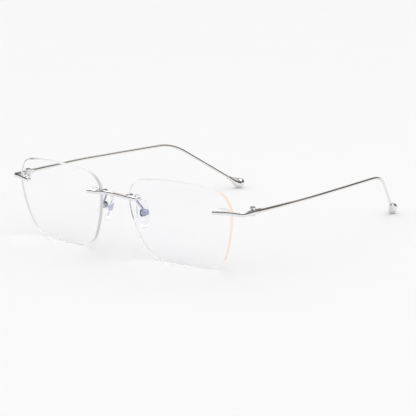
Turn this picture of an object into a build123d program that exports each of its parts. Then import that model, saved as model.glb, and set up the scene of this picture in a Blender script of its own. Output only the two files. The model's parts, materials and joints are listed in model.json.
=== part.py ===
from build123d import *

import os
from math import sqrt, tan, radians

# Rimless wire eyeglasses: two drilled lenses that a bridge bar and two endpieces hold by studs in
# bushings, adjustable nose pads on wire arms, three-knuckle screw hinges and bent wire temples.
#
# Frame, in millimetres: +X is the wearer's left, +Y runs from the lenses back along the temples, +Z is
# up. The glasses stand open on their lens rims and temple tips, so z = 0 is the surface below them.
# The left-hand pieces are built first and the right-hand ones are their mirror image.

# ---- driving dimensions -------------------------------------------------------------------------

# lens blank and its place
eye_offset = 37.18            # lens centre from the middle plane
wrap_deg = 5.75               # temporal side swept back
pantoscopic_deg = 8.44        # lower rim tilted back
front_radius = 110.0          # front curve of the lens
lens_thickness = 2.0
lens_bevel = 0.18             # safety bevel round both rims

# lens outline, seen from the front: u towards the temple, v up. Each corner is where two bowed sides
# would meet, with the bow of the side that starts there and the radius that rounds the corner.
lens_outline = {
    "upper_temporal": {"at": (26.36, 13.55), "bow_to_next": 3.54, "round": 10.9},
    "upper_nasal": {"at": (-28.15, 14.17), "bow_to_next": 3.71, "round": 10.2},
    "lower_nasal": {"at": (-17.91, -21.98), "bow_to_next": 0.46, "round": 13.0},
    "lower_temporal": {"at": (18.57, -21.97), "bow_to_next": 3.10, "round": 10.2},
}

# studs through the lens and the clear bushings that grip them
stud_radius = 0.50
stud_tail = 0.45              # stud left proud of the bushing
collar_radius = 0.85          # shoulder between the bar and the lens
bushing_radius = 0.80
bushing_flange = 0.35         # flange thickness behind the lens
contact_gap = 0.02            # gap between touching faces of separate pieces
nasal_holes = (-25.7, -23.2)  # u of the two nasal holes
nasal_hole_height = 6.9       # their v
temporal_holes = (21.2, 24.2)
temporal_hole_height = 5.35

# bridge bar
bridge_height = 1.9
bridge_thickness = 1.25
bridge_standoff = 0.40        # lens to the back of the bar, at the bar's end
bridge_end_u = -22.1
bridge_shoulder = (8.9, -1.75, 28.80)
bridge_crown = (3.3, -3.35, 29.75)
bridge_bend_radii = (9.0, 7.0)

bar_end_round = 0.22

# endpiece bar
bar_height = 1.9
bar_thickness = 1.1
endpiece_standoff = 0.30
endpiece_start_u = 18.5
endpiece_rim_u = 26.2
endpiece_corner_y = 6.9
endpiece_corner_radius = 3.0
endpiece_sweep_radius = 9.0

# hinge, at the end of the endpiece
hinge_at = (69.7, 15.4, 27.5)  # centre of the bar where endpiece and temple meet
hinge_toe_out_deg = 1.2        # the temple leaves the hinge slightly outwards
knuckle_radius = 1.3
knuckle_stack = 3.7            # height of the three knuckles
knuckle_gap = 0.06
swing_clearance = 0.10
butt_gap = 0.10                # between the endpiece and the temple
leaf_length = 4.4
leaf_height = 1.7
leaf_thickness = 0.9
pin_radius = 0.60
pin_running_clearance = 0.05
screw_head_radius = 1.10
screw_head_height = 0.50
screw_slot = (0.26, 0.24)      # width and depth
axis_lean_deg = {"left": 0.0, "right": 1.25}  # outward lean, so folded temples pass over each other

# temple wire, from the hinge to the ear
blade_length = 27.0
wire_radius = 0.625
temple_first_run = 38.0
temple_second_corner = (68.0, 86.0, 27.0)
temple_ear_corner = (65.1, 118.3, 26.5)
temple_bow_radii = (150.0, 240.0)
ear_bend_radius = 27.0

# temple tip
tip_centre = (48.56, 152.9)
tip_radius = 2.3
tip_length = 7.2               # socket mouth to the centre of the bulb
tip_mouth_radius = 0.85
tip_socket_depth = 3.0
tip_upturn_deg = 30.0          # the end beyond the centre rises this much
tip_upturn_length = 0.95

# nose pad and its mount
pad_pivot = (12.5, 7.6, 20.8)
pad_splay_deg = 28.0
pad_frontal_deg = 15.0
pad_size = (7.0, 13.0, 2.9)    # width, length, thickness
pad_edge_round = 1.3
pad_back = 1.35                # pivot to the back of the pad
pad_drop = 0.4                 # pad centre below the pivot
core_plate = (3.0, 3.4, 0.5)
core_plate_at = 2.60           # pivot to the back of the plate
box_size = (2.7, 2.6)          # across the cheeks, and tall
box_back = 1.10
box_front = 0.80
box_floor = 0.28
lug_width = 1.20
lug_radius = 0.72
slot_clearance = 0.06          # each side of the lug
pad_pin_radius = 0.40
pad_pin_head = (0.70, 0.40)    # radius and height
arm_radius = 0.45
arm_route = [(7.8, -1.9, 29.2), (7.8, 4.3, 29.2), (9.6, 5.4, 25.9), (12.0, 6.6, 22.7),
             (13.8, 6.9, 21.2)]
arm_radii = (1.8, 3.0, 2.0)

# ---- helpers ------------------------------------------------------------------------------------


def spin(vector, degrees, about=Axis.Z):
    return Vector(*vector).rotate(about, degrees)


def upright_bar(points, radii, height, thickness):
    """Bar of oval section, upright at its start, along a path of straight runs and arcs."""
    path = FilletPolyline(*points, radius=radii)
    section = Plane(origin=path @ 0, x_dir=(0, 0, 1), z_dir=path % 0)
    return sweep(section * Ellipse(height / 2, thickness / 2), path=path)


def round_wire(points, radii, radius):
    path = FilletPolyline(*points, radius=radii)
    section = Plane(origin=path @ 0, z_dir=path % 0) * Circle(radius)
    return sweep(section, path=path)


def rod(frame, radius, start, end):
    """Cylinder along the frame's z from start to end."""
    return frame * Pos(0, 0, (start + end) / 2) * Cylinder(radius, end - start)


def block(frame, low, high):
    size = [h - l for l, h in zip(low, high)]
    centre = [(h + l) / 2 for l, h in zip(low, high)]
    return frame * Pos(*centre) * Box(*size)


def round_end(bar, point, radius):
    """Round the end face of a bar that lies nearest to the point."""
    end = bar.faces().sort_by_distance(Vector(*point))[0]
    return fillet(end.edges(), radius)


# ---- lens ---------------------------------------------------------------------------------------

LENS_TURN = Rot(pantoscopic_deg, 0, 0) * Rot(0, 0, wrap_deg) * Rot(90, 0, 0)


def lens_blank():
    """Lens without holes, in its own frame: u, v, and forwards."""
    corners = list(lens_outline.values())
    sides = [SagittaArc(corner["at"], following["at"], -corner["bow_to_next"])
             for corner, following in zip(corners, corners[1:] + corners[:1])]
    outline = make_face(Curve() + sides)
    for corner in corners:
        vertex = outline.vertices().sort_by_distance(Vector(*corner["at"]))[0]
        outline = fillet(vertex, corner["round"])
    prism = extrude(outline, amount=20, both=True)
    # The spheres lie on their side, so that neither pole falls on the lens.
    centre = Pos(0, 0, -front_radius) * Rot(90, 0, 0)
    shell = centre * Sphere(front_radius) - centre * Sphere(front_radius - lens_thickness)
    lens = (prism & shell).solids()[0]
    rims = [edge for face in lens.faces().filter_by(GeomType.SPHERE) for edge in face.edges()]
    return chamfer(rims, lens_bevel)


BLANK = lens_blank()
LENS_HEIGHT = -(LENS_TURN * BLANK).bounding_box().min.Z
LENS_FRAME = Pos(eye_offset, 0, LENS_HEIGHT) * LENS_TURN


def front_depth(u, v):
    return front_radius - sqrt(front_radius ** 2 - u ** 2 - v ** 2)


def off_lens(u, v, distance):
    """Point in front of the lens, measured square to its front surface."""
    scale = (front_radius + distance) / front_radius
    local = Pos(u * scale, v * scale, (front_radius - front_depth(u, v)) * scale - front_radius)
    return (LENS_FRAME * local).position


def stud_frame(holes, height):
    """Frame between a pair of holes: x along the pair, z back through the lens."""
    inner, outer = (off_lens(u, height, 0) for u in holes)
    u_mid = sum(holes) / 2
    middle = off_lens(u_mid, height, 0)
    return Plane(origin=middle, x_dir=outer - inner, z_dir=middle - off_lens(u_mid, height, 1))


def stud_places(frame, holes):
    half = (holes[1] - holes[0]) / 2
    return [frame.location * Pos(side * half, 0, 0) for side in (-1, 1)]


def make_studs(frame, holes, bar, reach):
    """Two studs with shoulders, cut where the bar they are brazed to begins."""
    tail = lens_thickness + contact_gap + bushing_flange + stud_tail
    studs = []
    for place in stud_places(frame, holes):
        stud = rod(place, stud_radius, -reach, tail) + rod(place, collar_radius, -reach, -0.05)
        studs.append((stud - bar).solids().sort_by(Axis.Y)[-1])
    return studs


def make_bushing(frame, holes):
    """Clear double bushing: two sleeves in the lens joined by a flange behind it."""
    half = (holes[1] - holes[0]) / 2
    back = lens_thickness + contact_gap
    slab = frame.offset(back) * SlotCenterToCenter(2 * half, 2 * (bushing_radius + 0.35))
    bushing = extrude(slab, amount=bushing_flange)
    for place in stud_places(frame, holes):
        bushing += rod(place, bushing_radius, 0.1, back + bushing_flange)
    for place in stud_places(frame, holes):
        bushing -= rod(place, stud_radius + contact_gap, -1, back + 1)
    return bushing


def drill(lens, frame, holes):
    for place in stud_places(frame, holes):
        lens -= rod(place, bushing_radius + contact_gap, -2, lens_thickness + 2)
    return lens


# ---- bridge and endpiece ------------------------------------------------------------------------


def make_bridge_bar():
    standoff = bridge_standoff + bridge_thickness / 2
    end = off_lens(bridge_end_u, nasal_hole_height, standoff)
    half = [end, Vector(*bridge_shoulder), Vector(*bridge_crown)]
    points = half + [Vector(-p.X, p.Y, p.Z) for p in reversed(half)]
    radii = bridge_bend_radii + bridge_bend_radii[::-1]
    bar = upright_bar(points, radii, bridge_height, bridge_thickness)
    for side in (1, -1):
        bar = round_end(bar, (side * end.X, end.Y, end.Z), bar_end_round)
    return bar


HINGE_BAR = Pos(*hinge_at) * Rot(0, 0, -hinge_toe_out_deg)   # on the bar's centre line, y along it
AXIS_OFFSET = knuckle_radius + swing_clearance + bar_thickness / 2
HINGE = HINGE_BAR * Pos(-AXIS_OFFSET, 0, 0)                  # on the hinge axis


def make_endpiece():
    standoff = endpiece_standoff + bar_thickness / 2
    start = off_lens(endpiece_start_u, temporal_hole_height, standoff)
    rim = off_lens(endpiece_rim_u, temporal_hole_height, standoff)
    corner = (HINGE_BAR * Pos(0, endpiece_corner_y - hinge_at[1], 0)).position
    end = (HINGE_BAR * Pos(0, -butt_gap / 2, 0)).position
    points = [start, rim, corner, end]
    bar = upright_bar(points, (endpiece_sweep_radius, endpiece_corner_radius), bar_height, bar_thickness)
    return round_end(bar, start, bar_end_round)


# ---- hinge --------------------------------------------------------------------------------------


def knuckle_band():
    return (knuckle_stack - 2 * knuckle_gap) / 3


def hinge_axis_frame(lean_deg):
    return HINGE * Rot(0, lean_deg, 0)


def leaf_plate(direction):
    """Flat leaf on the inner face of the bar, ahead of the axis (-1) or behind it (+1)."""
    inner = AXIS_OFFSET - bar_thickness / 2 - contact_gap
    ends = sorted((direction * butt_gap / 2, direction * leaf_length))
    low = (inner - leaf_thickness, ends[0], -leaf_height / 2)
    high = (inner, ends[1], leaf_height / 2)
    return block(HINGE, low, high)


def make_front_leaf(lean_deg):
    axis = hinge_axis_frame(lean_deg)
    band = knuckle_band()
    leaf = leaf_plate(-1) + rod(axis, knuckle_radius, -knuckle_stack / 2, knuckle_stack / 2)
    slot = band / 2 + knuckle_gap
    leaf -= rod(axis, knuckle_radius + swing_clearance, -slot, slot)
    leaf -= rod(axis, pin_radius + pin_running_clearance, 0, knuckle_stack)
    leaf -= rod(axis, pin_radius + contact_gap, -knuckle_stack, 0)
    seat = knuckle_stack / 2 - 0.6 * screw_head_height
    return leaf - rod(axis, screw_head_radius + contact_gap, seat, knuckle_stack)


def make_temple_leaf(lean_deg):
    axis = hinge_axis_frame(lean_deg)
    half_band = knuckle_band() / 2
    leaf = leaf_plate(1)
    for low, high in ((half_band, knuckle_stack), (-knuckle_stack, -half_band)):
        leaf -= rod(axis, knuckle_radius + swing_clearance, low, high)
    leaf += rod(axis, knuckle_radius, -half_band, half_band)
    return leaf - rod(axis, pin_radius + pin_running_clearance, -knuckle_stack, knuckle_stack)


def make_hinge_screw(lean_deg):
    axis = hinge_axis_frame(lean_deg)
    seat = knuckle_stack / 2 - 0.6 * screw_head_height + contact_gap
    top = seat + screw_head_height
    screw = rod(axis, pin_radius, -knuckle_stack / 2 - 0.1, seat) + rod(axis, screw_head_radius, seat, top)
    width, depth = screw_slot
    reach = screw_head_radius + 1
    return screw - block(axis, (-reach, -width / 2, top - depth), (reach, width / 2, top + 1))


# ---- temple -------------------------------------------------------------------------------------

TIP_BULB = Vector(*tip_centre, tip_radius)
EAR_RUN = (TIP_BULB - Vector(*temple_ear_corner)).normalized()


def make_temple():
    """Oval blade at the hinge that narrows into round wire, bent down behind the ear."""
    start = HINGE_BAR * Pos(0, butt_gap / 2, 0)
    sections = []
    for along, height, thickness in ((0, bar_height, bar_thickness),
                                     (0.45, 0.86 * bar_height, bar_thickness),
                                     (1, 2 * wire_radius, 2 * wire_radius)):
        place = start * Pos(0, along * blade_length, 0) * Rot(-90, 0, 0)
        sections.append(place * Ellipse(thickness / 2, height / 2))
    blade = loft(sections)
    wire_start = (start * Pos(0, blade_length, 0)).position
    first_corner = (start * Pos(0, temple_first_run, 0)).position
    wire_end = TIP_BULB - EAR_RUN * (tip_length - tip_socket_depth)
    points = [wire_start, first_corner, temple_second_corner, temple_ear_corner, wire_end]
    return blade + round_wire(points, (*temple_bow_radii, ear_bend_radius), wire_radius)


def make_temple_tip():
    """Teardrop end cap with a socket for the wire and a short upturned end."""
    mouth = (tip_mouth_radius, -tip_length)
    flare = Bezier(mouth, (tip_mouth_radius + 0.1, -0.55 * tip_length),
                   (tip_radius, -0.42 * tip_length), (tip_radius, 0))
    bulb = CenterArc((0, 0), tip_radius, 0, 90)
    edges = [Line((0, -tip_length), mouth), flare, bulb, Line((0, tip_radius), (0, -tip_length))]
    profile = Plane.XZ * make_face(Curve() + edges)
    drop = revolve(profile, Axis.Z)
    drop -= Pos(0, 0, -tip_length) * Cylinder(wire_radius + contact_gap, 2 * (tip_socket_depth + 0.1))
    level = Vector(EAR_RUN.X, EAR_RUN.Y, 0).normalized()
    upwards = (level + Vector(0, 0, tan(radians(tip_upturn_deg)))).normalized()
    end = Pos(*(TIP_BULB + upwards * tip_upturn_length)) * Sphere(tip_radius)
    return Plane(origin=TIP_BULB, z_dir=EAR_RUN).location * drop + end


# ---- nose pad -----------------------------------------------------------------------------------


def pad_plane():
    """At the pivot: x along the pivot screw, y down the pad, z towards the nose."""
    screw_line = spin((0, 1, 0), -pad_splay_deg)
    towards_nose = spin((-1, 0, 0), -pad_splay_deg)
    towards_nose = towards_nose.rotate(Axis((0, 0, 0), screw_line), -pad_frontal_deg)
    return Plane(origin=pad_pivot, x_dir=screw_line, z_dir=towards_nose)


PAD = pad_plane().location


def make_core():
    """Stiff insert of the pad: a plate inside it and a lug that turns on the pivot screw."""
    half = lug_width / 2
    width, length, thickness = core_plate
    core = PAD * Rot(0, 90, 0) * Cylinder(lug_radius, lug_width)
    core += block(PAD, (-half, -lug_radius, 0), (half, lug_radius, core_plate_at + 0.1))
    plate = PAD * Pos(0, 0, core_plate_at) * extrude(RectangleRounded(width, length, 0.9), thickness)
    core += plate
    return core - PAD * Rot(0, 90, 0) * Cylinder(pad_pin_radius + pin_running_clearance, 2 * lug_width)


def make_pad(core):
    """Soft pad moulded round the core."""
    width, length, thickness = pad_size
    outline = RectangleRounded(width, length, 0.48 * width)
    pad = PAD * Pos(0, pad_drop, pad_back) * fillet(extrude(outline, thickness).edges(), pad_edge_round)
    return pad - core


def make_pad_box():
    """Open metal box on the arm; its two cheeks hold the pivot screw."""
    half_width, half_height = (size / 2 for size in box_size)
    box = block(PAD, (-half_width, -half_height, -box_back), (half_width, half_height, box_front))
    slot = lug_width / 2 + slot_clearance
    box -= block(PAD, (-slot, -2 * half_height, box_floor - box_back), (slot, 2 * half_height, 2 * box_front))
    return box - PAD * Rot(0, 90, 0) * Cylinder(pad_pin_radius + contact_gap, 3 * half_width)


def make_pad_screw():
    radius, height = pad_pin_head
    half_width = box_size[0] / 2
    across = PAD * Rot(0, -90, 0)          # z runs to the front end of the pivot
    seat = half_width + contact_gap
    screw = rod(across, pad_pin_radius, -half_width - 0.1, seat) + rod(across, radius, seat, seat + height)
    return screw - block(across, (-2, -0.11, seat + 0.6 * height), (2, 0.11, seat + 2 * height))


def make_arm(bar, box):
    """Wire arm brazed to the back of the bridge bar and to the box."""
    arm = round_wire(arm_route, arm_radii, arm_radius) - bar - box
    return arm.solids().sort_by(SortBy.VOLUME)[-1]


# ---- assembly -----------------------------------------------------------------------------------


def side_pieces(side, bridge_bar):
    """All pieces of one side, built as the left-hand side."""
    nasal = stud_frame(nasal_holes, nasal_hole_height)
    temporal = stud_frame(temporal_holes, temporal_hole_height)
    endpiece = make_endpiece()
    core = make_core()
    box = make_pad_box()
    bridge_reach = bridge_standoff + bridge_thickness / 2
    endpiece_reach = endpiece_standoff + bar_thickness / 2
    lean = axis_lean_deg[side]
    lens = drill(drill(LENS_FRAME * BLANK, nasal, nasal_holes), temporal, temporal_holes)
    return {
        "lens": lens,
        "bridge_studs": make_studs(nasal, nasal_holes, bridge_bar, bridge_reach),
        "bridge_bushing": make_bushing(nasal, nasal_holes),
        "endpiece": endpiece,
        "endpiece_studs": make_studs(temporal, temporal_holes, endpiece, endpiece_reach),
        "endpiece_bushing": make_bushing(temporal, temporal_holes),
        "nose_pad_arm": make_arm(bridge_bar, box),
        "nose_pad_box": box,
        "nose_pad_screw": make_pad_screw(),
        "nose_pad_core": core,
        "nose_pad": make_pad(core),
        "hinge_front_leaf": make_front_leaf(lean),
        "hinge_temple_leaf": make_temple_leaf(lean),
        "hinge_screw": make_hinge_screw(lean),
        "temple": make_temple(),
        "temple_tip": make_temple_tip(),
    }


def as_one(piece):
    """One shape for a node, whether it is one solid or a group."""
    if isinstance(piece, list):
        return Compound(children=piece)
    return piece if len(piece.solids()) > 1 else piece.solids()[0]


def assemble():
    bridge_bar = make_bridge_bar()
    nodes = {"bridge_bar": bridge_bar.solids()[0]}
    for side in ("left", "right"):
        for name, piece in side_pieces(side, bridge_bar).items():
            shape = as_one(piece)
            nodes[f"{name}_{side}"] = shape if side == "left" else mirror(shape, about=Plane.YZ)
    return nodes


def report(name, point):
    print(name, [round(value, 4) for value in point])


nodes = assemble()
boxes = [shape.bounding_box() for shape in nodes.values()]
y_low = min(box.min.Y for box in boxes)
y_high = max(box.max.Y for box in boxes)
to_origin = Pos(0, -(y_low + y_high) / 2, 0)   # origin below the middle of the whole object

os.makedirs("parts", exist_ok=True)
for node_name, node_shape in nodes.items():
    export_step(to_origin * node_shape, f"parts/{node_name}.step")

report("shift back", (to_origin.position.Y,))
report("left hinge axis at", (to_origin * HINGE).position)
report("left pad pivot at", (to_origin * PAD).position)
report("left pad pivot along", pad_plane().x_dir)
report("size", (2 * max(box.max.X for box in boxes), y_high - y_low, max(box.max.Z for box in boxes)))
report("lowest point", (min(box.min.Z for box in boxes),))
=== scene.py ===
"""Looks for a pair of rimless wire eyeglasses: polished silver wire, coated lenses and clear nose pads."""

import json
import logging
import math
from dataclasses import dataclass, field
from enum import Enum

import bmesh
import bpy
from mathutils import Matrix, Vector

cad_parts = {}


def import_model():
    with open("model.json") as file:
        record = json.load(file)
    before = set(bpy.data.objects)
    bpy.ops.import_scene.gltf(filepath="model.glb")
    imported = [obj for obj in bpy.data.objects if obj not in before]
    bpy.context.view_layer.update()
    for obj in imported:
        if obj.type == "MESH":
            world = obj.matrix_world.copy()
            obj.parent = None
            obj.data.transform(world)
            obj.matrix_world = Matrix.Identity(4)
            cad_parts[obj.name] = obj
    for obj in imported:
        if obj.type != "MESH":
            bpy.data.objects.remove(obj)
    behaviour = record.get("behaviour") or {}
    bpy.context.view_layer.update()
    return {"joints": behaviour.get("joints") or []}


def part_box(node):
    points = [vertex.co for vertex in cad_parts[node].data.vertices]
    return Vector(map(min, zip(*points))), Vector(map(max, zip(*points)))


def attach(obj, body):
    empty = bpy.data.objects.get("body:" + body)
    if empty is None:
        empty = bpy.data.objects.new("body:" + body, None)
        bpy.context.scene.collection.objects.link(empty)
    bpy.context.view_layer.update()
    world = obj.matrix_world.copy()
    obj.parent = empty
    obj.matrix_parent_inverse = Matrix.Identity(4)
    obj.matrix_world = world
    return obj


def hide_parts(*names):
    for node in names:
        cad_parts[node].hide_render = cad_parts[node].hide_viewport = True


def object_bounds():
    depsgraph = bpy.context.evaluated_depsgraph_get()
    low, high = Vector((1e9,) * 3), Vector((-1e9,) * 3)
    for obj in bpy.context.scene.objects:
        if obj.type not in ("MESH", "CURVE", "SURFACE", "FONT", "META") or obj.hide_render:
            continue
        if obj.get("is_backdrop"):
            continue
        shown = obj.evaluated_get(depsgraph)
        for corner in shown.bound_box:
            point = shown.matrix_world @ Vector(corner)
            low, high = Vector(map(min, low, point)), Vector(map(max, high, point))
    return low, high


Colour = tuple[float, float, float, float]
NodeTree = bpy.types.NodeTree
Node = bpy.types.Node
Socket = bpy.types.NodeSocket

MM = 0.001
log = logging.getLogger("eyeglasses")


class Side(Enum):
    """Wearer's side of a piece, with the sign of its x."""

    LEFT = 1
    RIGHT = -1

    @property
    def word(self) -> str:
        """The side as it stands in node names."""
        return self.name.lower()


class Grain(Enum):
    """Direction of the fine lines that finishing leaves in metal."""

    POLISHED = (1.0, 1.0, 1.0)
    DRAWN_ALONG_Y = (1.0, 0.06, 1.0)
    TURNED = (1.0, 1.0, 0.12)


# ---- node helpers -------------------------------------------------------------------------------


def link(tree: NodeTree, source: Socket, target: Socket) -> None:
    """Join two sockets."""
    tree.links.new(source, target)


def add_node(tree: NodeTree, kind: str, place: tuple[int, int], **settings: object) -> Node:
    """Add a node with its settings.

    Args:
        tree: The node tree that gets the node.
        kind: Blender's type name of the node.
        place: Where the node stands in the editor, in columns and rows.
        **settings: Attributes to set on the node.

    Returns:
        The new node.
    """
    node = tree.nodes.new(kind)
    node.location = (place[0] * 220, -place[1] * 220)
    for name, value in settings.items():
        setattr(node, name, value)
    return node


def mapped(tree: NodeTree, source: Socket, limits: tuple[float, float], place: tuple[int, int]) -> Socket:
    """Map a value from its limits to the range 0 to 1.

    Args:
        tree: The node tree.
        source: The value.
        limits: The values that become 0 and 1.
        place: Where the node stands in the editor.

    Returns:
        The mapped value.
    """
    node = add_node(tree, "ShaderNodeMapRange", place)
    node.inputs["From Min"].default_value, node.inputs["From Max"].default_value = limits
    link(tree, source, node.inputs["Value"])
    return node.outputs["Result"]


def calculated(tree: NodeTree, operation: str, sources: tuple[Socket, ...], place: tuple[int, int]) -> Socket:
    """Calculate with one or two values.

    Args:
        tree: The node tree.
        operation: Blender's name of the operation.
        sources: The values.
        place: Where the node stands in the editor.

    Returns:
        The result.
    """
    node = add_node(tree, "ShaderNodeMath", place, operation=operation)
    for source, target in zip(sources, node.inputs):
        link(tree, source, target)
    return node.outputs["Value"]


class SurfacePlay:
    """Node group for the small unevenness that any finished surface has.

    A coarse field shifts the colour and the gloss a little, and a fine field gives the height of the
    marks that polishing, moulding or drawing leave.
    """

    name = "surface_play"
    patch_detail = 3.0
    mark_detail = 2.0
    patch_contrast = (0.3, 0.7)

    @classmethod
    def tree(cls) -> NodeTree:
        """Return the group, built on the first call."""
        found = bpy.data.node_groups.get(cls.name)
        return found or cls._build()

    @classmethod
    def _build(cls) -> NodeTree:
        """Build the group's sockets and nodes.

        Returns:
            The new node group.
        """
        tree = bpy.data.node_groups.new(cls.name, "ShaderNodeTree")
        sockets = tree.interface
        for name, kind in (("Vector", "NodeSocketVector"), ("Colour A", "NodeSocketColor"),
                           ("Colour B", "NodeSocketColor"), ("Patch Scale", "NodeSocketFloat"),
                           ("Mark Scale", "NodeSocketFloat"), ("Roughness Low", "NodeSocketFloat"),
                           ("Roughness High", "NodeSocketFloat")):
            sockets.new_socket(name=name, in_out="INPUT", socket_type=kind)
        for name, kind in (("Colour", "NodeSocketColor"), ("Roughness", "NodeSocketFloat"),
                           ("Height", "NodeSocketFloat")):
            sockets.new_socket(name=name, in_out="OUTPUT", socket_type=kind)
        given = add_node(tree, "NodeGroupInput", (0, 0))
        result = add_node(tree, "NodeGroupOutput", (4, 0))
        patches = add_node(tree, "ShaderNodeTexNoise", (1, 0))
        patches.inputs["Detail"].default_value = cls.patch_detail
        marks = add_node(tree, "ShaderNodeTexNoise", (1, 2))
        marks.inputs["Detail"].default_value = cls.mark_detail
        colour = add_node(tree, "ShaderNodeMix", (3, 0), data_type="RGBA")
        spread = mapped(tree, patches.outputs["Fac"], cls.patch_contrast, (2, 0))
        gloss = add_node(tree, "ShaderNodeMapRange", (3, 1))
        link(tree, given.outputs["Vector"], patches.inputs["Vector"])
        link(tree, given.outputs["Vector"], marks.inputs["Vector"])
        link(tree, given.outputs["Patch Scale"], patches.inputs["Scale"])
        link(tree, given.outputs["Mark Scale"], marks.inputs["Scale"])
        link(tree, spread, colour.inputs["Factor"])
        link(tree, given.outputs["Colour A"], colour.inputs["A"])
        link(tree, given.outputs["Colour B"], colour.inputs["B"])
        link(tree, spread, gloss.inputs["Value"])
        link(tree, given.outputs["Roughness Low"], gloss.inputs["To Min"])
        link(tree, given.outputs["Roughness High"], gloss.inputs["To Max"])
        link(tree, colour.outputs["Result"], result.inputs["Colour"])
        link(tree, gloss.outputs["Result"], result.inputs["Roughness"])
        link(tree, marks.outputs["Fac"], result.inputs["Height"])
        return tree


@dataclass(frozen=True)
class Finish:
    """A finish whose colour and gloss vary a little over the surface.

    Sizes of patches and marks are in millimetres, and mark_depth is the height of the marks.
    """

    name: str
    colour_a: Colour
    colour_b: Colour
    roughness: tuple[float, float]
    patch_size: float
    mark_size: float
    mark_depth: float
    grain: Grain = Grain.POLISHED

    def make(self) -> bpy.types.Material:
        """Build the material.

        Returns:
            The new material.
        """
        material = bpy.data.materials.new(self.name)
        material.use_nodes = True
        tree = material.node_tree
        shader = tree.nodes["Principled BSDF"]
        self._set_shader(shader)
        places = add_node(tree, "ShaderNodeTexCoord", (-6, 0))
        stretch = add_node(tree, "ShaderNodeMapping", (-5, 0))
        stretch.inputs["Scale"].default_value = self.grain.value
        play = add_node(tree, "ShaderNodeGroup", (-4, 0), node_tree=SurfacePlay.tree())
        play.inputs["Colour A"].default_value = self.colour_a
        play.inputs["Colour B"].default_value = self.colour_b
        play.inputs["Patch Scale"].default_value = 1 / (self.patch_size * MM)
        play.inputs["Mark Scale"].default_value = 1 / (self.mark_size * MM)
        play.inputs["Roughness Low"].default_value = self.roughness[0]
        play.inputs["Roughness High"].default_value = self.roughness[1]
        bump = add_node(tree, "ShaderNodeBump", (-2, 2))
        bump.inputs["Distance"].default_value = self.mark_depth * MM
        link(tree, places.outputs["Object"], stretch.inputs["Vector"])
        link(tree, stretch.outputs["Vector"], play.inputs["Vector"])
        link(tree, play.outputs["Height"], bump.inputs["Height"])
        link(tree, bump.outputs["Normal"], shader.inputs["Normal"])
        self._join(tree, play, shader)
        return material

    def _join(self, tree: NodeTree, play: Node, shader: Node) -> None:
        """Carry the colour and the gloss to the shader."""
        link(tree, play.outputs["Roughness"], shader.inputs["Roughness"])
        link(tree, play.outputs["Colour"], shader.inputs["Base Color"])

    def _set_shader(self, shader: Node) -> None:
        """Set the shader's plain values. Each finish has its own."""


@dataclass(frozen=True)
class Metal(Finish):
    """Bare or plated metal."""

    def _set_shader(self, shader: Node) -> None:
        """Metal reflects with its own colour."""
        shader.inputs["Metallic"].default_value = 1.0


@dataclass(frozen=True)
class ClearPlastic(Finish):
    """Clear moulded plastic or silicone, with a slight milkiness in the softer grades."""

    ior: float = 1.49
    clearness: float = 1.0

    def _set_shader(self, shader: Node) -> None:
        """Light passes through, bent by the refractive index."""
        shader.inputs["Transmission Weight"].default_value = self.clearness
        shader.inputs["IOR"].default_value = self.ior


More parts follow.
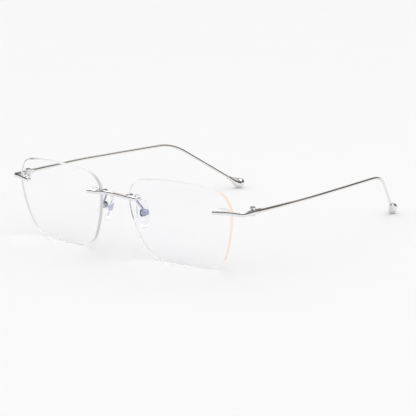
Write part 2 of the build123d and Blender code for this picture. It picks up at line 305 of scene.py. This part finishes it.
@dataclass(frozen=True)
class CoatedGlass(Finish):
    """Clear lens with polished faces and a ground rim, whose upright stretches carry painted light.

    Their colour is a painted warm reflection at the temple side of the left lens and painted shade elsewhere.
    The range of the painted warm reflection is given across the frame, in millimetres. The other two ranges
    are parts of the surface normal.
    """

    ior: float = 1.17
    # The two rim colours are painted light, not the glass's own colour: painted shade (grey) and a painted
    # warm reflection.
    rim_grey: Colour = (0.46, 0.455, 0.44, 1.0)
    rim_warm: Colour = (1.0, 0.72, 0.55, 1.0)
    rim_roughness: float = 0.30
    face_tilt_deg: float = 8.44
    rim_range: tuple[float, float] = (0.75, 0.45)
    upright_range: tuple[float, float] = (0.25, 0.75)
    # Across this range of x, in millimetres, the painted warm reflection takes over from the painted shade.
    warm_range: tuple[float, float] = (24.0, 55.0)

    def _set_shader(self, shader: Node) -> None:
        """Light passes through, bent by the refractive index."""
        shader.inputs["Transmission Weight"].default_value = 1.0
        shader.inputs["IOR"].default_value = self.ior

    def _join(self, tree: NodeTree, play: Node, shader: Node) -> None:
        """Roughen the ground rim of the lens and paint shade and a warm reflection on its upright stretches.

        Args:
            tree: The material's node tree.
            play: The placed surface_play group, which colours the faces.
            shader: The glass shader.
        """
        normal = add_node(tree, "ShaderNodeNewGeometry", (-6, 3)).outputs["Normal"]
        rim = self._rim(tree, normal)
        # This mix lays the painted shade and painted warm reflection onto the rim's upright stretches.
        colour = add_node(tree, "ShaderNodeMix", (-1, 3), data_type="RGBA")
        painted_rim_mask = calculated(tree, "MULTIPLY", (rim, self._upright(tree, normal)), (-2, 3))
        link(tree, painted_rim_mask, colour.inputs["Factor"])
        link(tree, play.outputs["Colour"], colour.inputs["A"])
        link(tree, self._tint(tree), colour.inputs["B"])
        link(tree, colour.outputs["Result"], shader.inputs["Base Color"])
        gloss = add_node(tree, "ShaderNodeMix", (-1, 5))
        gloss.inputs["B"].default_value = self.rim_roughness
        link(tree, rim, gloss.inputs["Factor"])
        link(tree, play.outputs["Roughness"], gloss.inputs["A"])
        link(tree, gloss.outputs["Result"], shader.inputs["Roughness"])

    def _rim(self, tree: NodeTree, normal: Socket) -> Socket:
        """Find the rim, where the surface does not face along the lens axis.

        Args:
            tree: The material's node tree.
            normal: The surface normal.

        Returns:
            A value of 1 on the rim and 0 on both faces.
        """
        facing = add_node(tree, "ShaderNodeVectorMath", (-5, 3), operation="DOT_PRODUCT")
        tilt = math.radians(self.face_tilt_deg)
        facing.inputs[1].default_value = (0.0, -math.cos(tilt), math.sin(tilt))
        link(tree, normal, facing.inputs[0])
        size = calculated(tree, "ABSOLUTE", (facing.outputs["Value"],), (-4, 3))
        return mapped(tree, size, self.rim_range, (-3, 3))

    def _upright(self, tree: NodeTree, normal: Socket) -> Socket:
        """Find the stretches that face sideways.

        Args:
            tree: The material's node tree.
            normal: The surface normal.

        Returns:
            A value of 1 where the surface faces sideways.
        """
        split = add_node(tree, "ShaderNodeSeparateXYZ", (-5, 2))
        link(tree, normal, split.inputs["Vector"])
        size = calculated(tree, "ABSOLUTE", (split.outputs["X"],), (-4, 2))
        return mapped(tree, size, self.upright_range, (-3, 2))

    def _tint(self, tree: NodeTree) -> Socket:
        """Blend the painted rim colour from painted shade to a painted warm reflection across the frame.

        Args:
            tree: The material's node tree.

        Returns:
            The tint.
        """
        places = add_node(tree, "ShaderNodeTexCoord", (-6, 4))
        split = add_node(tree, "ShaderNodeSeparateXYZ", (-5, 4))
        link(tree, places.outputs["Object"], split.inputs["Vector"])
        limits = (self.warm_range[0] * MM, self.warm_range[1] * MM)
        tint = add_node(tree, "ShaderNodeMix", (-2, 4), data_type="RGBA")
        tint.inputs["A"].default_value = self.rim_grey
        tint.inputs["B"].default_value = self.rim_warm
        link(tree, mapped(tree, split.outputs["X"], limits, (-3, 4)), tint.inputs["Factor"])
        return tint.outputs["Result"]


BRIGHT_SILVER = Metal("bright_silver", (0.86, 0.86, 0.87, 1), (0.78, 0.78, 0.80, 1), (0.05, 0.11),
                      6.0, 0.35, 0.0006)
DRAWN_SILVER = Metal("drawn_silver_wire", (0.86, 0.85, 0.83, 1), (0.78, 0.76, 0.73, 1), (0.06, 0.13),
                     9.0, 0.30, 0.0006, Grain.DRAWN_ALONG_Y)
TIP_SILVER = Metal("tip_silver", (0.87, 0.87, 0.88, 1), (0.80, 0.80, 0.81, 1), (0.04, 0.08),
                   3.0, 0.30, 0.0004)
SCREW_STEEL = Metal("screw_steel", (0.66, 0.66, 0.68, 1), (0.52, 0.52, 0.55, 1), (0.14, 0.26),
                    0.8, 0.12, 0.0015, Grain.TURNED)
# Steel insert tinted blue: the blue is a painted reflection of the lens coating, on top of the steel's own
# grey.
INSERT_STEEL_PAINTED_BLUE = Metal("insert_steel", (0.62, 0.63, 0.72, 1), (0.48, 0.49, 0.62, 1), (0.10, 0.22),
                     1.2, 0.20, 0.0012)
BUSHING_CLEAR = ClearPlastic("bushing_clear", (0.98, 0.98, 0.99, 1), (0.94, 0.95, 0.97, 1), (0.02, 0.06),
                             1.0, 0.40, 0.0005)
PAD_SILICONE = ClearPlastic("pad_silicone", (0.985, 0.985, 1.0, 1), (0.96, 0.965, 0.985, 1), (0.05, 0.12),
                            2.5, 0.50, 0.0010, ior=1.33)
# Pad arm and box steel: its darker blue-violet colour is a painted reflection of the lens coating, on top of
# the steel's own grey.
PAD_MOUNT_STEEL_PAINTED_BLUE = Metal("pad_mount_steel", (0.50, 0.51, 0.64, 1), (0.34, 0.35, 0.50, 1), (0.08, 0.16),
                        1.5, 0.20, 0.0008)
FLOOR_PAPER = Finish("floor_paper", (0.90, 0.90, 0.905, 1), (0.885, 0.885, 0.89, 1), (0.75, 0.9),
                     180.0, 2.0, 0.01)
# Lens glass whose rim carries painted shade and a painted warm reflection.
LENS_GLASS = CoatedGlass("lens_glass", (0.997, 0.997, 1.0, 1), (0.987, 0.987, 1.0, 1), (0.0, 0.004),
                         14.0, 5.0, 0.0)


def dress(node: str, material: bpy.types.Material) -> bpy.types.Object:
    """Give a CAD node its finish.

    Args:
        node: Name of the CAD node.
        material: The finish.

    Returns:
        The node's object.
    """
    piece = bpy.data.objects[node]
    piece.data.materials.clear()
    piece.data.materials.append(material)
    log.info("%s: %s", node, material.name)
    return piece


# ---- sub-assemblies -----------------------------------------------------------------------------


@dataclass
class FrontFrame:
    """Bridge bar, endpieces, studs, bushings, nose pad mounts, front hinge leaves and screws."""

    metal_nodes: tuple[str, ...] = ("endpiece", "endpiece_studs", "bridge_studs", "hinge_front_leaf")
    mount_nodes: tuple[str, ...] = ("nose_pad_arm", "nose_pad_box")
    bushing_nodes: tuple[str, ...] = ("bridge_bushing", "endpiece_bushing")
    screw_nodes: tuple[str, ...] = ("nose_pad_screw", "hinge_screw")

    def build(self) -> None:
        """Dress the pieces of both sides."""
        silver = BRIGHT_SILVER.make()
        clear = BUSHING_CLEAR.make()
        steel = SCREW_STEEL.make()
        # The pad mounts' blue-violet is a painted reflection of the lens coating.
        mount = PAD_MOUNT_STEEL_PAINTED_BLUE.make()
        dress("bridge_bar", silver)
        for side in Side:
            for nodes, finish in ((self.metal_nodes, silver), (self.mount_nodes, mount),
                                  (self.bushing_nodes, clear), (self.screw_nodes, steel)):
                for node in nodes:
                    dress(f"{node}_{side.word}", finish)


@dataclass
class Lenses:
    """The two drilled lenses."""

    def build(self) -> None:
        """Dress both lenses."""
        glass = LENS_GLASS.make()
        for side in Side:
            dress(f"lens_{side.word}", glass)


@dataclass
class Temples:
    """Wire temples with their hinge leaves and bulb tips."""

    wire_nodes: tuple[str, ...] = ("temple", "hinge_temple_leaf")

    def build(self) -> None:
        """Dress the pieces of both temples."""
        wire = DRAWN_SILVER.make()
        tip = TIP_SILVER.make()
        for side in Side:
            for node in self.wire_nodes:
                dress(f"{node}_{side.word}", wire)
            dress(f"temple_tip_{side.word}", tip)


@dataclass
class NosePads:
    """Moulded clear pads round their stamped inserts.

    A pad is a rounded oval: it crowns towards the nose, narrows a little at the top, and has a fine
    parting line round its edge and a raised collar behind, where the insert goes in. Lengths are in
    millimetres.
    """

    width: float = 6.9
    length: float = 12.8
    thickness: float = 2.8
    crown: float = 0.75
    top_narrowing: float = 0.10
    squareness: float = 2.35
    edge_power: int = 5
    rim_power: int = 8
    parting_line: float = 0.06
    parting_power: int = 12
    collar_radius: float = 1.75
    collar_height: float = 0.16
    collar_blend: float = 0.12
    frontal_tilt_deg: float = 15.0
    around: int = 64
    rings: int = 14
    fill: float = 0.9
    joints: list[dict] = field(default_factory=list)

    def build(self) -> None:
        """Build and dress the pad and the insert of both sides."""
        silicone = PAD_SILICONE.make()
        # The insert's blue is a painted reflection of the lens coating.
        insert = INSERT_STEEL_PAINTED_BLUE.make()
        for side in Side:
            dress(f"nose_pad_core_{side.word}", insert)
            pad = self._pad(side)
            pad.data.materials.append(silicone)
            log.info("%s: %s", pad.name, silicone.name)

    def _place(self, side: Side) -> Matrix:
        """Frame of a pad: x along its pivot screw, y up the pad, z towards the nose.

        Args:
            side: Which pad.

        Returns:
            The matrix from the pad's own frame, at its middle, to the row frame.
        """
        joint = next(j for j in self.joints if j["name"] == f"nose_pad_{side.word}_rock")
        along = Vector(joint["axis"]).normalized()
        level = Vector((-side.value * abs(along.y), abs(along.x), 0.0)).normalized()
        tilt = math.radians(self.frontal_tilt_deg)
        towards_nose = level * math.cos(tilt) - Vector((0, 0, math.sin(tilt)))
        upwards = towards_nose.cross(along)
        if upwards.z < 0:
            upwards = -upwards
        low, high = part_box(f"nose_pad_{side.word}")
        middle = (low + high) / 2
        turn = Matrix((upwards.cross(towards_nose), upwards, towards_nose)).transposed().to_4x4()
        return Matrix.Translation(middle) @ turn

    def _outline(self, angle: float) -> tuple[float, float]:
        """Find a point of the pad's edge, a rounded oval that is narrower at the top.

        Args:
            angle: Angle round the pad, in radians.

        Returns:
            The point's x and y.
        """
        power = 2 / self.squareness
        c, s = math.cos(angle), math.sin(angle)
        x = math.copysign(abs(c) ** power, c) * self.width / 2
        y = math.copysign(abs(s) ** power, s) * self.length / 2
        return x * (1 - self.top_narrowing * (0.5 + y / self.length)), y

    def _half(self, share: float) -> float:
        """Half thickness at a share of the way from the middle (0) to the edge (1)."""
        return math.sqrt(max(0.0, 1 - share ** self.edge_power))

    def _pad(self, side: Side) -> bpy.types.Object:
        """Build one pad as a closed mesh.

        Args:
            side: Which pad.

        Returns:
            The pad, riding on its body in place of the CAD solid.
        """
        mesh = bpy.data.meshes.new(f"pad_{side.word}")
        form = bmesh.new()
        layers = []
        for face in (1, -1):
            pole = form.verts.new((0, 0, self._height(face, 0.0, 0.0)))
            loops = []
            for ring in range(1, self.rings + (1 if face == 1 else 0)):
                share = math.sin(ring / self.rings * math.pi / 2)
                loops.append([form.verts.new(self._point(face, share, step)) for step in range(self.around)])
            layers.append((pole, loops))
        edge = layers[0][1][-1]
        for face, (pole, loops) in zip((1, -1), layers):
            chain = loops if face == 1 else loops + [edge]
            self._skin(form, pole, chain)
        bmesh.ops.recalc_face_normals(form, faces=form.faces)
        form.to_mesh(mesh)
        form.free()
        mesh.transform(self._place(side) @ Matrix.Scale(MM, 4))
        mesh.shade_smooth()
        pad = bpy.data.objects.new(f"silicone_pad_{side.word}", mesh)
        bpy.context.scene.collection.objects.link(pad)
        smooth = pad.modifiers.new("round", "SUBSURF")
        smooth.levels = smooth.render_levels = 1
        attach(pad, f"nose_pad_{side.word}")
        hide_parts(f"nose_pad_{side.word}")
        return pad

    def _skin(self, form: bmesh.types.BMesh, pole: bmesh.types.BMVert,
              loops: list[list[bmesh.types.BMVert]]) -> None:
        """Close the surface from its pole through its loops.

        Args:
            form: The mesh being built.
            pole: The vertex in the middle of the face.
            loops: Rings of vertices from the middle outwards.
        """
        count = self.around
        for i in range(count):
            form.faces.new((pole, loops[0][i], loops[0][(i + 1) % count]))
        for inner, outer in zip(loops, loops[1:]):
            for i in range(count):
                j = (i + 1) % count
                form.faces.new((inner[i], outer[i], outer[j], inner[j]))

    def _point(self, face: int, share: float, step: int) -> tuple[float, float, float]:
        """Vertex of one face (1 nose side, -1 back) at a share of the way out."""
        x, y = self._outline(2 * math.pi * step / self.around)
        return x * share, y * share, self._height(face, x * share, y * share, share)

    def _height(self, face: int, x: float, y: float, share: float = 0.0) -> float:
        """Find the height of the pad's surface above its middle plane.

        Args:
            face: 1 for the nose side, -1 for the back.
            x: Place across the pad.
            y: Place along the pad.
            share: Share of the way from the middle to the edge.

        Returns:
            The height.
        """
        level = self.thickness / 2 * self._half(share)
        line = self.parting_line * share ** self.parting_power
        if face == 1:
            return level - self.crown * share ** 2 * (1 - share ** self.rim_power) - line
        out = math.hypot(x, y) - self.collar_radius
        collar = self.collar_height * 0.5 * (1 - math.tanh(out / self.collar_blend))
        return -(level - self.collar_height + collar) + line


# ---- studio -------------------------------------------------------------------------------------


@dataclass(frozen=True)
class SoftBox:
    """Square lamp that shines on the middle of the object. Lengths are in metres, power in watts."""

    name: str
    offset: tuple[float, float, float]
    size: float
    power: float

    def place(self, middle: Vector) -> None:
        """Hang the lamp. It shows in polished metal and leaves no glare on the floor.

        Args:
            middle: Middle of the object.
        """
        lamp = bpy.data.lights.new(self.name, "AREA")
        lamp.shape = "SQUARE"
        lamp.size = self.size
        lamp.energy = self.power
        holder = bpy.data.objects.new(self.name, lamp)
        holder.location = middle + Vector(self.offset)
        holder.rotation_mode = "QUATERNION"
        holder.rotation_quaternion = (-Vector(self.offset)).to_track_quat("-Z", "Y")
        holder.visible_diffuse = False
        bpy.context.scene.collection.objects.link(holder)


@dataclass
class Studio:
    """Pale floor, soft light and the camera. Lengths are in metres, angles in degrees.

    The band gives the grey that polished pieces reflect at each height above the horizon.
    """

    floor_reach: float = 4.0
    floor_gap: float = 0.00002
    floor_segments: int = 96
    sky: float = 1.08
    band: tuple[tuple[float, float], ...] = ((0.0, 0.08), (0.40, 0.13), (0.66, 0.76), (1.0, 1.0))
    band_tint: tuple[float, float, float] = (1.0, 0.93, 0.87)
    dark_side: float = 0.16
    soft_boxes: tuple[SoftBox, ...] = (SoftBox("softbox_top", (0.15, 0.25, 1.1), 0.7, 4.0),
                                       SoftBox("softbox_side", (-0.9, -0.5, 0.8), 0.5, 1.4))
    azimuth: float = 39.095
    elevation: float = 12.51
    distance: float = 0.95156
    focal_length: float = 187.56
    sensor: float = 36.0
    clip: tuple[float, float] = (0.05, 20.0)
    aim_from_bridge: tuple[float, float, float] = (0.053283, 0.00462, 0.00016)

    def build(self) -> None:
        """Make the floor, the lights and the camera."""
        self._floor()
        self._world()
        self._lights()
        self._camera()

    def _floor(self) -> None:
        """A round floor, level with the lowest point of the object."""
        low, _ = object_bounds()
        mesh = bpy.data.meshes.new("floor")
        form = bmesh.new()
        bmesh.ops.create_circle(form, cap_ends=True, segments=self.floor_segments, radius=self.floor_reach)
        form.to_mesh(mesh)
        form.free()
        floor = bpy.data.objects.new("floor", mesh)
        floor.location = (0, 0, low.z - self.floor_gap)
        bpy.context.scene.collection.objects.link(floor)
        floor.data.materials.append(FLOOR_PAPER.make())
        floor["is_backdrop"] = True

    def _world(self) -> None:
        """Even light all round, and for reflections a dark band above the horizon.

        The band is what gives polished wire its dark line between two bright ones.
        """
        world = bpy.data.worlds.new("studio")
        world.use_nodes = True
        tree = world.node_tree
        ramp = add_node(tree, "ShaderNodeValToRGB", (-3, 0))
        stops = ramp.color_ramp
        stops.elements[0].position, stops.elements[1].position = self.band[0][0], self.band[1][0]
        for height, _ in self.band[2:]:
            stops.elements.new(height)
        for stop, (_, grey) in zip(stops.elements, self.band):
            stop.color = (*(grey * tint for tint in self.band_tint), 1)
        link(tree, self._band_height(tree), ramp.inputs["Fac"])
        rays = add_node(tree, "ShaderNodeLightPath", (-3, 2)).outputs
        reflected = calculated(tree, "MULTIPLY", (rays["Is Glossy Ray"], rays["Is Reflection Ray"]), (-2, 3))
        choose = add_node(tree, "ShaderNodeMix", (-1, 0), data_type="RGBA")
        choose.inputs["A"].default_value = (1, 1, 1, 1)
        link(tree, ramp.outputs["Color"], choose.inputs["B"])
        link(tree, reflected, choose.inputs["Factor"])
        background = tree.nodes["Background"]
        background.inputs["Strength"].default_value = self.sky
        link(tree, choose.outputs["Result"], background.inputs["Color"])
        bpy.context.scene.world = world

    def _band_height(self, tree: NodeTree) -> Socket:
        """Find the height in the band, lowered on the camera's right to darken that side.

        Args:
            tree: The world's node tree.

        Returns:
            The height, 0 at the horizon and 1 overhead.
        """
        places = add_node(tree, "ShaderNodeTexCoord", (-5, 0))
        split = add_node(tree, "ShaderNodeSeparateXYZ", (-4, 0))
        sideways = add_node(tree, "ShaderNodeVectorMath", (-5, 1), operation="DOT_PRODUCT")
        turn = math.radians(self.azimuth)
        right = Vector((math.cos(turn), math.sin(turn), 0))
        sideways.inputs[1].default_value = self.dark_side * right
        link(tree, places.outputs["Generated"], split.inputs["Vector"])
        link(tree, places.outputs["Generated"], sideways.inputs[0])
        only_right = add_node(tree, "ShaderNodeMath", (-4, 1), operation="MAXIMUM")
        only_right.inputs[1].default_value = 0.0
        link(tree, sideways.outputs["Value"], only_right.inputs[0])
        return calculated(tree, "SUBTRACT", (split.outputs["Z"], only_right.outputs["Value"]), (-3, 1))

    def _lights(self) -> None:
        """Hang the soft boxes round the middle of the object."""
        low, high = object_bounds()
        for box in self.soft_boxes:
            box.place((low + high) / 2)

    def _camera(self) -> None:
        """Long lens, level, looking slightly down from the wearer's front left."""
        low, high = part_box("bridge_bar")
        aim = (low + high) / 2 + Vector(self.aim_from_bridge)
        turn, rise = math.radians(self.azimuth), math.radians(self.elevation)
        back = Vector((math.sin(turn) * math.cos(rise), -math.cos(turn) * math.cos(rise), math.sin(rise)))
        lens = bpy.data.cameras.new("camera")
        lens.sensor_width = self.sensor
        lens.lens = self.focal_length
        lens.clip_start, lens.clip_end = self.clip
        camera = bpy.data.objects.new("camera", lens)
        camera.location = aim + back * self.distance
        camera.rotation_mode = "QUATERNION"
        camera.rotation_quaternion = (-back).to_track_quat("-Z", "Y")
        bpy.context.scene.collection.objects.link(camera)
        bpy.context.scene.camera = camera


def main() -> None:
    """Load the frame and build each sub-assembly in order."""
    logging.basicConfig(level=logging.INFO, format="%(message)s")
    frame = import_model()
    bpy.context.scene.view_settings.view_transform = "Standard"
    for part in (FrontFrame(), Lenses(), Temples(), NosePads(joints=frame["joints"]), Studio()):
        part.build()
        log.info("%s done", type(part).__name__)


if __name__ == "__main__":
    main()
